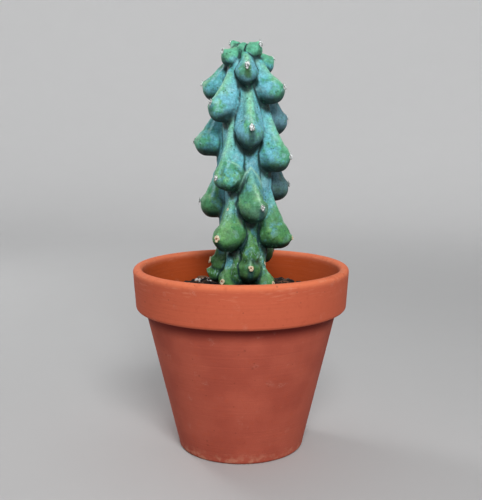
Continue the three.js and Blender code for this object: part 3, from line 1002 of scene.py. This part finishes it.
def skin_surface():
    """The skin as an even net of small faces drawn tight on the cactus field."""
    axes = [np.arange(low, high, SKIN_STEP) for low, high in zip(NET_LOW, NET_HIGH)]
    grid = np.stack(np.meshgrid(*axes, indexing="ij"), axis=-1)
    field = cactus_field(grid.reshape(-1, 3)).reshape(grid.shape[:3])
    field[:, :, 0] = np.maximum(field[:, :, 0], SKIN_STEP / 2)
    points, index = net_points(field)
    points, faces = np.array(NET_LOW) + points * SKIN_STEP, net_faces(field < 0, index)
    above = points[:, 2] > STEM_FOOT + SKIN_STEP
    for _ in range(2):
        points[above] += 0.5 * (neighbour_mean(points, faces) - points)[above]
        rise = slope(points)
        length = np.maximum(np.sum(rise * rise, axis=1), 0.2)
        moved = -cactus_field(points)[:, None] * rise / length[:, None]
        points[above] += np.clip(moved, -SKIN_STEP, SKIN_STEP)[above]
    points[above] += 0.25 * (neighbour_mean(points, faces) - points)[above]
    return points, faces


# The skin's masks. Beyond is how much farther a point lies inside a tubercle than inside a rib.

def rim_highlight(points, tubercle):
    """1 along the arched upper edge of a shield, where a highlight is painted, fading out beside it and
    lower down.
    """
    climb = tubercle[5]
    _, side, up = tubercle_frame(points, tubercle)
    rim = bell(np.abs(side) - half_width(up, tubercle), RIM_WIDTH)
    return rim * window(up, 0.35 * climb, 0.7 * climb) * (up < climb + 1)


def fold_masks(points, masks, fields, owner, beyond):
    """Seams between ribs and joints below tubercles, where shade is painted, and the bare columns between
    them.
    """
    height, rows = points[:, 2], np.array([row[:6] for row in TUBERCLES])[owner]
    ribs = np.sort([np.minimum(lobe, grown.min(axis=0)) for lobe, grown in fields], axis=0)
    masks["seam"] = bell(ribs[1] - ribs[0], SEAM_WIDTH)
    masks["joint"] = bell(beyond, JOINT_WIDTH) * window(height - rows[:, 0], 0.3 * rows[:, 5], 0)
    masks["column"] = (1 - window(beyond, -0.4, 0.6)) * window(beyond, -0.5, -4.5)
    masks["column"] *= window(height, 138, 158) * window(height, 262, 250)


def hollow_masks(points, masks, ways):
    """Hollows, places that little light from the front reaches, and those just below a belly, where
    painted shade and shadow go.
    """
    masks["hollow"] = np.clip(1 - cactus_field(points + HOLLOW_REACH * ways) / HOLLOW_REACH, 0, 1)
    for reach in SHADE_REACHES:
        for way in LIGHT_WAYS:
            field = cactus_field(points + reach * np.array(way))
            masks["shade"] += window(field, 0.45 * reach, -0.1 * reach) / 6
    # Where the painted shadow just below a belly goes.
    masks["undercut"] = window(cactus_field(points + UNDERCUT_REACH + UNDERCUT_OUT * ways), 1.8, -0.8)


def swelling_masks(points, masks):
    """Swellings are green. The plate has a painted highlight along its rim and no painted crease shade
    where it meets its tubercle.
    """
    for swelling in [row for rows in SWELLINGS.values() for row in rows]:
        near = reach_box(points, swelling)
        held = window(tubercle_field(points[near], swelling), 1, -0.5)
        masks["tone"][near] = np.minimum(masks["tone"][near], SWELLING_TONE * held)
        if full_row(swelling)[6] > SHIELD_LIFT:
            masks["edge"][near] = held * rim_highlight(points[near], swelling)
            for name in ("joint", "hollow", "seam"):
                masks[name][near] *= 1 - 0.85 * held


def tubercle_looks(points, tubercle, tone):
    """How strongly each of a tubercle's own marks shows at each point. Front ones show more."""
    height, turn, reach, girth, sag, climb, *_ = full_row(tubercle)
    out, side, up = leaning_frame(points, tubercle)
    level, facing = (climb - up) / climb, abs(turn) < FACING_TURN
    far = np.sqrt((out - reach) ** 2 + side ** 2 + up ** 2) / girth
    start, strength = (-0.45, 1.35) if facing else (0.15, 0.75)
    crest = bell(side, 0.1 * girth) * window(level, 0.3, 0.6) * (up > 0)
    stripe = np.exp(-(side / 2) ** 4) * window(-up, 0, 1) * window(-up, 1.4 * girth, 0.9 * girth)
    # The under mark is painted shade on the lower part of the belly, stronger on front tubercles and on
    # some listed ones.
    under = window(-(up + sag) / girth, start, start + 0.8)
    return {
        "tip": window(far, 1.9, 0.2),
        "belly": window(up, 0.75 * climb, 0.15 * climb),
        "crest": crest * (1 if has_shield(tubercle) else 0.45),
        "stripe": stripe * (1 if facing else 0.35),
        "under": under * strength + PAINTED_SHADE.get(height, 0),
        "tone": TONES.get(height, tone),
    }, bell(side, 0.38 * girth) * window(level, 0, 0.2) * window(level, 1.05, 0.5)


def tubercle_masks(points, masks, owner, beyond):
    """Each tubercle's own marks, on the skin that it owns, and the painted highlights on the shields'
    rims.
    """
    random = np.random.default_rng(5)
    for row, tubercle in enumerate(TUBERCLES):
        mine = owner == row
        looks, ridge = tubercle_looks(points[mine], tubercle, random.uniform(-1, 1))
        for name, strength in looks.items():
            masks[name][mine] += window(beyond[mine], -0.4, 0.6) * strength
        masks["ridge"][mine] = window(beyond[mine], -3, -0.5) * ridge
        if has_shield(tubercle):
            near = reach_box(points, tubercle)
            masks["edge"][near] += rim_highlight(points[near], tubercle)


def skin_masks(points, ways):
    """What the material needs to know at each point of the skin."""
    masks = {name: np.zeros(len(points)) for name in SKIN_MASKS}
    fields = rib_fields(points)
    grown = np.concatenate([tubercles for _, tubercles in fields])
    owner = grown.argmin(axis=0)
    beyond = np.min([lobe for lobe, _ in fields], axis=0) - grown.min(axis=0)
    fold_masks(points, masks, fields, owner, beyond)
    hollow_masks(points, masks, ways)
    swelling_masks(points, masks)
    tubercle_masks(points, masks, owner, beyond)
    return masks


def make_skin():
    """The skin, a little uneven all over and more so near the soil."""
    points, faces = skin_surface()
    ways = outward(points)
    old = window(points[:, 2], 150, 115)
    lumps = 0.3 * soft_noise(points, 7, 11) + (0.1 + 0.34 * old) * soft_noise(points, 3, 12)
    lumps -= 0.45 * np.abs(soft_noise(points, 9, 14))
    uneven = points + ways * lumps[:, None]
    skin = mesh_piece("cactus_skin", uneven, faces, "cactus_skin", cactus_skin(), "cactus")
    for name, values in skin_masks(points, ways).items():
        give_mask(skin, name, values)


# Areoles.

def on_skin(turn, height):
    """The point on the skin at a turn in radians and a height, looking in from outside."""
    distances = np.arange(42, 6, -0.1)
    line = round_stem(turn, distances, np.full(len(distances), float(height)))
    return line[np.argmax(cactus_field(line) < 0)]


def turned_to(outwards):
    """A frame whose third axis points outwards and whose first is level."""
    third = outwards / np.linalg.norm(outwards)
    first = np.cross([0, 0, 1], third)
    first /= np.linalg.norm(first)
    return np.stack([first, np.cross(third, first), third], axis=1)


def spikes(rows, sides):
    """Points, faces and lift from 0 to 1 of a slim cone for each row of base, tip and radius."""
    bases, tips, radii = below_top(rows[:, :3]), below_top(rows[:, 3:6]), rows[:, 6:]
    along = tips - bases
    across = np.cross(along, [0.31, 0.57, 0.76])
    across /= np.linalg.norm(across, axis=1)[:, None]
    other = np.cross(along, across)
    other /= np.linalg.norm(other, axis=1)[:, None]
    rings = []
    for level, share in ((0.0, 1.0), (0.6, 0.7)):
        for angle in 2 * math.pi * np.arange(sides) / sides:
            spread = math.cos(angle) * across + math.sin(angle) * other
            rings.append(bases + along * level + spread * (radii * share))
    points = np.stack([*rings, tips], axis=1).reshape(-1, 3)
    pairs = [(side, (side + 1) % sides) for side in range(sides)]
    cone = [(side, after, sides + after, sides + side) for side, after in pairs]
    cone += [(sides + side, sides + after, 2 * sides) for side, after in pairs]
    cone += [(0, after, side) for side, after in pairs[1:-1]]
    starts = (2 * sides + 1) * np.arange(len(rows))
    faces = [tuple(int(start) + v for v in face) for start in starts for face in cone]
    return points, faces, np.tile(np.repeat([0, 0.6, 1], [sides, sides, 1]), len(rows))


def lump(detail, seed, roughness, size):
    """Points and faces of a rounded lump with an uneven surface, of radius about 1."""
    mesh = bpy.data.meshes.new("lump")
    made = bmesh.new()
    bmesh.ops.create_icosphere(made, subdivisions=detail, radius=1)
    made.to_mesh(mesh)
    made.free()
    points = np.array([v.co for v in mesh.vertices])
    faces = [tuple(p.vertices) for p in mesh.polygons]
    bpy.data.meshes.remove(mesh)
    return points * (1 + roughness * soft_noise(points, size, seed))[:, None], faces


def joined(parts):
    """Several (points, faces) as one, with each part's faces renumbered."""
    points, faces, start = [], [], 0
    for part_points, part_faces in parts:
        points.append(part_points)
        faces += [tuple(start + v for v in face) for face in part_faces]
        start += len(part_points)
    return np.concatenate(points), faces


def areole_places():
    """Of each areole, its place on the skin, the way it faces, its size and whether it is cork."""
    places = []
    for tubercle in TUBERCLES:
        height, turn, reach, *_, lean = full_row(tubercle)
        turn = math.radians(turn) + math.atan2(lean, reach)
        outwards = round_stem(turn, 1, 0.25) - round_stem(0, 0, 0)
        size = AREOLE_SIZES.get(height, AREOLE_SIZE)
        places.append((on_skin(turn, height), outwards, size, height < OLD_BELOW))
    for height, turn, width in SMALL_AREOLES:
        tip = on_skin(math.radians(turn), height)
        places.append((tip, slope(tip[None])[0], width / 2, True))
    return places


def cork_disc(number, tip, axes, size):
    """A disc of cork with a sunken middle, and 1 at the points in that middle."""
    points, faces = lump(4, 40 + number, 0.42, 0.5)
    radius = np.hypot(points[:, 0], points[:, 1])
    points[:, 2] *= DISC_FLATNESS
    points[:, 2] -= 0.25 * window(radius, 0.6, 0.1) * (points[:, 2] > 0)
    middle = window(radius, 0.62, 0.2) * (points[:, 2] > 0)
    return (tip + (points * DISC_SHAPE * size) @ axes.T, faces), middle


def wool_tuft(number, tip, axes, size):
    """The felt cushion in the middle of a young areole."""
    points, faces = lump(3, 60 + number, 0.45, 0.5)
    return below_top(tip + (points * size * TUFT_SHAPE) @ axes.T), faces


def hair_rows(tip, axes, size, random):
    """The base, tip and radius of each hair in a tuft."""
    rows = []
    for _ in range(HAIRS):
        spread = random.normal(0, 0.5, 2)
        way = np.array([1.5 * spread[0], 1.5 * spread[1] + 0.3, 0.6])
        base = tip + axes @ (size * np.array([spread[0] * 1.6, spread[1] * 2.1, 0.1]))
        end = base + axes @ way / np.linalg.norm(way) * random.uniform(0.2, 0.5)
        rows.append([*base, *end, HAIR_RADIUS])
    return rows


def spine_rows(tip, axes, size, random):
    """The base, tip and radius of each short spine round a tuft."""
    rows = []
    for i in range(SPINES):
        angle = 2 * math.pi * (i + random.uniform(-0.3, 0.3)) / SPINES + 0.6
        out = random.uniform(0.2, 0.75) * size
        way = np.array([math.cos(angle), 1.3 * math.sin(angle), random.uniform(0.5, 1.1)])
        base = tip + axes @ np.array([out * math.cos(angle), 1.4 * out * math.sin(angle), 0.15])
        end = base + axes @ way / np.linalg.norm(way) * random.uniform(0.6, 1.1)
        rows.append([*base, *end, random.uniform(0.16, 0.24)])
    return rows


def make_areoles():
    """White felt and dark spines on the young tubercles, cork discs on the old ones."""
    random = np.random.default_rng(21)
    discs, middles, tufts, hairs, spines = [], [], [], [], []
    for number, (tip, outwards, size, old) in enumerate(areole_places()):
        axes = turned_to(outwards)
        if old:
            disc, middle = cork_disc(number, tip, axes, size * random.uniform(0.85, 1.1))
            discs.append(disc)
            middles.append(middle)
            continue
        tufts.append(wool_tuft(number, tip, axes, size))
        hairs += hair_rows(tip, axes, size, random)
        spines += spine_rows(tip, axes, size, random)
    core = joined(tufts)
    *hair, hair_lift = spikes(np.array(hairs), 3)
    felt = mesh_piece("areole_wool", *joined([core, hair]), "cactus_skin", wool())
    give_mask(felt, "lift", np.concatenate([np.full(len(core[0]), 0.55), 0.3 + 0.7 * hair_lift]))
    points, faces, lift = spikes(np.array(spines), 6)
    give_mask(mesh_piece("areole_spines", points, faces, "cactus_skin", horn()), "lift", lift)
    scars = mesh_piece("areole_cork", *joined(discs), "cactus_skin", cork())
    give_mask(scars, "middle", np.concatenate(middles))


# The pot.

def round_edge(radius, height, turn_radius, start, end, steps):
    """Points of a round edge in a profile, from one angle to another in degrees."""
    angles = np.radians(np.linspace(start, end, steps + 1))
    return [(radius + turn_radius * math.cos(a), height + turn_radius * math.sin(a)) for a in angles]


def inside_radius(height):
    """The pot's inner radius at a height."""
    return MOUTH_RADIUS - WALL_LEAN * (POT_HEIGHT - height)


def pot_profile():
    """[radius, height] round the pot's wall, from the drain hole out, over the lip and back in."""
    band_bottom = POT_HEIGHT - RIM_BAND_HEIGHT
    band_radius = RIM_RADIUS - RIM_BAND_TAPER
    lip = POT_HEIGHT - LIP_ROUND
    corner = inside_radius(FLOOR_THICKNESS + FLOOR_FILLET) - FLOOR_FILLET
    return [
        (DRAIN_RADIUS, DRAIN_EDGE), (DRAIN_RADIUS + DRAIN_EDGE, 0),
        *round_edge(FOOT_RADIUS - FOOT_ROUND, FOOT_ROUND, FOOT_ROUND, -90, 0, 6),
        (WALL_TOP_RADIUS, band_bottom),
        *round_edge(band_radius - RIM_EDGE_ROUND, band_bottom + RIM_EDGE_ROUND, RIM_EDGE_ROUND, -90, 0, 8),
        *round_edge(RIM_RADIUS - LIP_ROUND, lip, LIP_ROUND, 0, 90, 8),
        *round_edge(MOUTH_RADIUS + LIP_ROUND, lip, LIP_ROUND, 90, 180, 8),
        *round_edge(corner, FLOOR_THICKNESS + FLOOR_FILLET, FLOOR_FILLET, 0, -90, 6),
        (DRAIN_RADIUS, FLOOR_THICKNESS), (DRAIN_RADIUS, DRAIN_EDGE),
    ]


def finer(profile, step):
    """The same profile with extra points, so that no stretch is longer than a step."""
    fine = []
    for (r0, z0), (r1, z1) in zip(profile, profile[1:]):
        parts = max(1, math.ceil(math.hypot(r1 - r0, z1 - z0) / step))
        fine += [(r0 + (r1 - r0) * i / parts, z0 + (z1 - z0) * i / parts) for i in range(parts)]
    return fine


def ring_points(profile, sides):
    """Points of a profile turned round the Z axis, ring by ring."""
    radius, height = np.array(profile).T[:, :, None]
    angles = 2 * math.pi * np.arange(sides) / sides
    ring = [radius * np.cos(angles), radius * np.sin(angles), height + 0 * angles]
    return np.stack(ring, axis=-1).reshape(-1, 3)


def spun(profile, sides):
    """Points and faces of a closed profile turned round the Z axis."""
    rows, faces = len(profile), []
    for row in range(rows):
        low, high = row * sides, (row + 1) % rows * sides
        for side in range(sides):
            after = (side + 1) % sides
            faces.append((low + side, low + after, high + after, high + side))
    return ring_points(profile, sides), faces


def make_pot():
    """The pot, with faint rings from turning and a slightly uneven wall."""
    points, faces = spun(finer(pot_profile(), POT_STEP), POT_SIDES)
    rings = 0.05 * soft_noise(points * [0.03, 0.03, 1], 2.4, 3) + 0.06 * soft_noise(points, 16, 4)
    out = points * [1, 1, 0]
    out /= np.linalg.norm(out, axis=1)[:, None]
    visible = window(points[:, 2], 1, 6) * window(points[:, 2], POT_HEIGHT, POT_HEIGHT - 3)
    points += out * ((rings - POT_INSET) * visible)[:, None]
    mesh_piece("terracotta_pot", points, faces, "terracotta", terracotta(), "pot")


# The soil and what lies on it.

def soil_height(points):
    """Height of the soil at each place: a low mound with gentle waves."""
    x, y = points[:, 0], points[:, 1]
    edge = np.minimum(1, np.hypot(x, y) / inside_radius(SOIL_EDGE_HEIGHT))
    waves = np.sin(x * 0.21 + 1.3) * np.cos(y * 0.17 - 0.4) + 0.6 * np.sin(x * 0.43 - y * 0.37)
    return SOIL_EDGE_HEIGHT + SOIL_MOUND * (1 - edge ** 6) + SOIL_RELIEF * waves * (1 - edge ** 8)


def make_soil():
    """The soil, shaped to the pot's inside, with clods on top and a dip round the stem's foot."""
    edge = inside_radius(SOIL_EDGE_HEIGHT) - FIT_GAP
    corner = inside_radius(FLOOR_THICKNESS + FLOOR_FILLET) - FIT_GAP - FLOOR_FILLET
    hole = float(stem_radius(SOIL_EDGE_HEIGHT)) + 0.4
    radii = edge + (SOIL_EYE - edge) * np.arange(SOIL_RINGS + 1) / SOIL_RINGS
    surface = [(radius, SOIL_EDGE_HEIGHT) for radius in radii]
    body = round_edge(corner, FLOOR_THICKNESS + FIT_GAP + FLOOR_FILLET, FLOOR_FILLET, -90, 0, 4)
    points, faces = spun([(SOIL_EYE, FLOOR_THICKNESS + FIT_GAP), *body, *surface], SOIL_SIDES)
    top = np.abs(points[:, 2] - SOIL_EDGE_HEIGHT) < 0.01
    flat = points[top] * [1, 1, 0]
    clods = 0.7 * soft_noise(flat, 3.1, 7) + 0.4 * soft_noise(flat, 1.3, 8) + 0.5 * soft_noise(flat, 7, 9)
    dip = SOIL_DIP * window(np.hypot(flat[:, 0] - STEM_X, flat[:, 1]), hole, hole - 3)
    calm = window(np.hypot(flat[:, 0], flat[:, 1]), edge, edge - 5)
    points[top, 2] = soil_height(points[top]) + clods * calm - dip
    mesh_piece("soil_bed", points, faces, "soil", soil(), "potting_soil")


def scatter(random, count, inner, outer):
    """Places spread evenly over the soil, clear of the stem."""
    angle = random.uniform(0, 2 * math.pi, count)
    radius = np.sqrt(random.uniform(inner ** 2, outer ** 2, count))
    return np.stack([radius * np.cos(angle), radius * np.sin(angle), np.zeros(count)], axis=1)


def turned(points, turn, tilt):
    """The points tilted about X and then turned about Z, by angles in radians."""
    spin = Matrix.Rotation(turn, 3, "Z") @ Matrix.Rotation(tilt, 3, "X")
    return points @ np.array(spin).T


def strew(name, places, sizes, random, slot, material, flatness=0.7):
    """Small uneven grains, one at each place, as one piece."""
    shapes = [lump(2, 300 + i, 0.45, 0.8) for i in range(GRAIN_SHAPES)]
    parts, tones = [], []
    for place, size in zip(places, sizes):
        points, faces = shapes[random.integers(len(shapes))]
        turn, tilt = random.uniform(0, 2 * math.pi), random.uniform(-0.5, 0.5)
        shape = np.array([random.uniform(0.7, 1.3), random.uniform(0.6, 1.0), flatness]) * size
        parts.append((place + turned(points * shape, turn, tilt), faces))
        tones.append(np.full(len(points), random.uniform(-1, 1)))
    piece = mesh_piece(name, *joined(parts), slot, material, smooth=False)
    give_mask(piece, "tone", np.concatenate(tones))


def make_top_dressing():
    """Soil crumbs and perlite specks all over, with a heap of specks at the back left."""
    random = np.random.default_rng(8)
    edge = inside_radius(SOIL_EDGE_HEIGHT) - 2
    places = scatter(random, CRUMBS, 17, edge)
    sizes = random.uniform(0.35, 1.0, CRUMBS) ** 2 * 2.6
    places[:, 2] = soil_height(places) + sizes * 0.2
    strew("soil_crumbs", places, sizes, random, "soil", grit())
    places = np.concatenate([
        scatter(random, SPECKS, 20, edge),
        HEAP_PLACE + random.normal(0, 1, (HEAP_SPECKS, 3)) * HEAP_SPREAD])
    sizes = random.uniform(0.4, 1.1, len(places)) * np.repeat([1, 1.6], [SPECKS, HEAP_SPECKS])
    places[:, 2] = soil_height(places) + sizes * 0.6
    strew("perlite_specks", places, sizes, random, "perlite", perlite(), 0.8)


def fitted(points, node):
    """The points moved and scaled to fill nearly all of a node's box."""
    low, high = (np.array(corner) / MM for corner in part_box(node))
    middle, half = (low + high) / 2, (high - low) / 2
    span = (points.max(axis=0) - points.min(axis=0)) / 2
    return middle + (points - (points.max(axis=0) + points.min(axis=0)) / 2) / span * half * NODE_SHARE


def make_chips():
    """Bark chips: flakes with ragged ends and a layered face, and the larger perlite grains."""
    wood, chalk = bark(), perlite()
    for number, (length, width, thickness, turn, tilt) in enumerate(BARK_CHIPS, 1):
        points, faces = lump(5, 500 + number, 0.12, 0.5)
        square = np.abs(points).max(axis=1, keepdims=True)
        points = points / (1 + (square - 1) * 0.62)
        points += 0.09 * soft_noise(points * [0.6, 4, 4], 0.6, 520 + number)[:, None] * [1.2, 0.5, 0.9]
        points *= [length / 2, width / 2, thickness / 2]
        node = f"bark_chip_{number}"
        points = fitted(turned(points, math.radians(turn), math.radians(tilt)), node)
        mesh_piece(f"bark_flake_{number}", points, faces, "bark", wood, node)
    for number in range(1, PERLITE_GRAINS + 1):
        node = f"perlite_grain_{number}"
        points, faces = lump(4, 540 + number, 0.34, 0.7)
        mesh_piece(f"perlite_pebble_{number}", fitted(points, node), faces, "perlite", chalk, node)


# The studio.

def area_light(name, place, aim, width, height, watts):
    """A flat light at a place in metres, aimed at another."""
    lamp = bpy.data.lights.new(name, "AREA")
    lamp.shape = "RECTANGLE"
    lamp.size, lamp.size_y = width, height
    lamp.energy = watts
    holder = linked(name, lamp)
    direction = (np.array(aim) - np.array(place)).tolist()
    holder.rotation_euler = Vector(direction).to_track_quat("-Z", "Y").to_euler()
    holder.location = place


def cove_paint():
    """The studio's paint: grey round the pot, paler on the cove's wall."""
    paint = Finish("studio_floor")
    colour = paint.mix(FLOOR_GREY, WALL_GREY, paint.across().step(*COVE_PALER))
    colour = paint.shade(colour, 0.99 + paint.noise(40, detail=2) * 0.02)
    return paint.paint(Base_Color=colour, Roughness=0.9)


def make_cove():
    """A round floor that curves up into a wall, the same from every side."""
    bend = round_edge(COVE_START, COVE_ROUND, COVE_ROUND, -90, 0, COVE_BENDS)
    profile = [(COVE_MIDDLE, 0), *bend, (COVE_START + COVE_ROUND, COVE_HEIGHT)]
    faces = [tuple(range(COVE_SIDES))]
    for start in range(0, COVE_SIDES * (len(profile) - 1), COVE_SIDES):
        for side in range(COVE_SIDES):
            first, after = start + side, start + (side + 1) % COVE_SIDES
            faces.append((first, first + COVE_SIDES, after + COVE_SIDES, after))
    mesh_object("floor", ring_points(profile, COVE_SIDES), faces, cove_paint())


def make_studio():
    """The cove, soft light from all round, a key light, one on the wall and one on the edges."""
    make_cove()
    world = bpy.data.worlds.new("studio")
    bpy.context.scene.world = world
    world.use_nodes = True
    sky = world.node_tree.nodes["Background"]
    sky.inputs["Color"].default_value = SKY_GREY
    sky.inputs["Strength"].default_value = SKY_LIGHT
    area_light("key", (0.14, -0.94, 0.84), (0, 0, 0.13), 0.42, 0.42, 11.6)
    area_light("backdrop", (0, 0.7, 2.1), (0, 1.8, 1.0), 3, 0.6, 14)
    area_light("rim", (-0.5, 0.5, 0.6), (0, 0, 0.2), 0.15, 0.5, 2)


def make_camera():
    """The camera, level from left to right and looking slightly down."""
    lens = bpy.data.cameras.new("camera")
    lens.lens = CAMERA_LENS
    lens.sensor_width = lens.sensor_height = CAMERA_SENSOR
    holder = linked("camera", lens)
    holder.location = [part * MM for part in CAMERA_PLACE]
    holder.rotation_euler = (math.radians(90 - CAMERA_PITCH), 0, 0)
    bpy.context.scene.camera = holder


bpy.context.scene.view_settings.view_transform = "Standard"
make_camera()
make_studio()
make_pot()
make_soil()
make_top_dressing()
make_chips()
make_skin()
make_areoles()
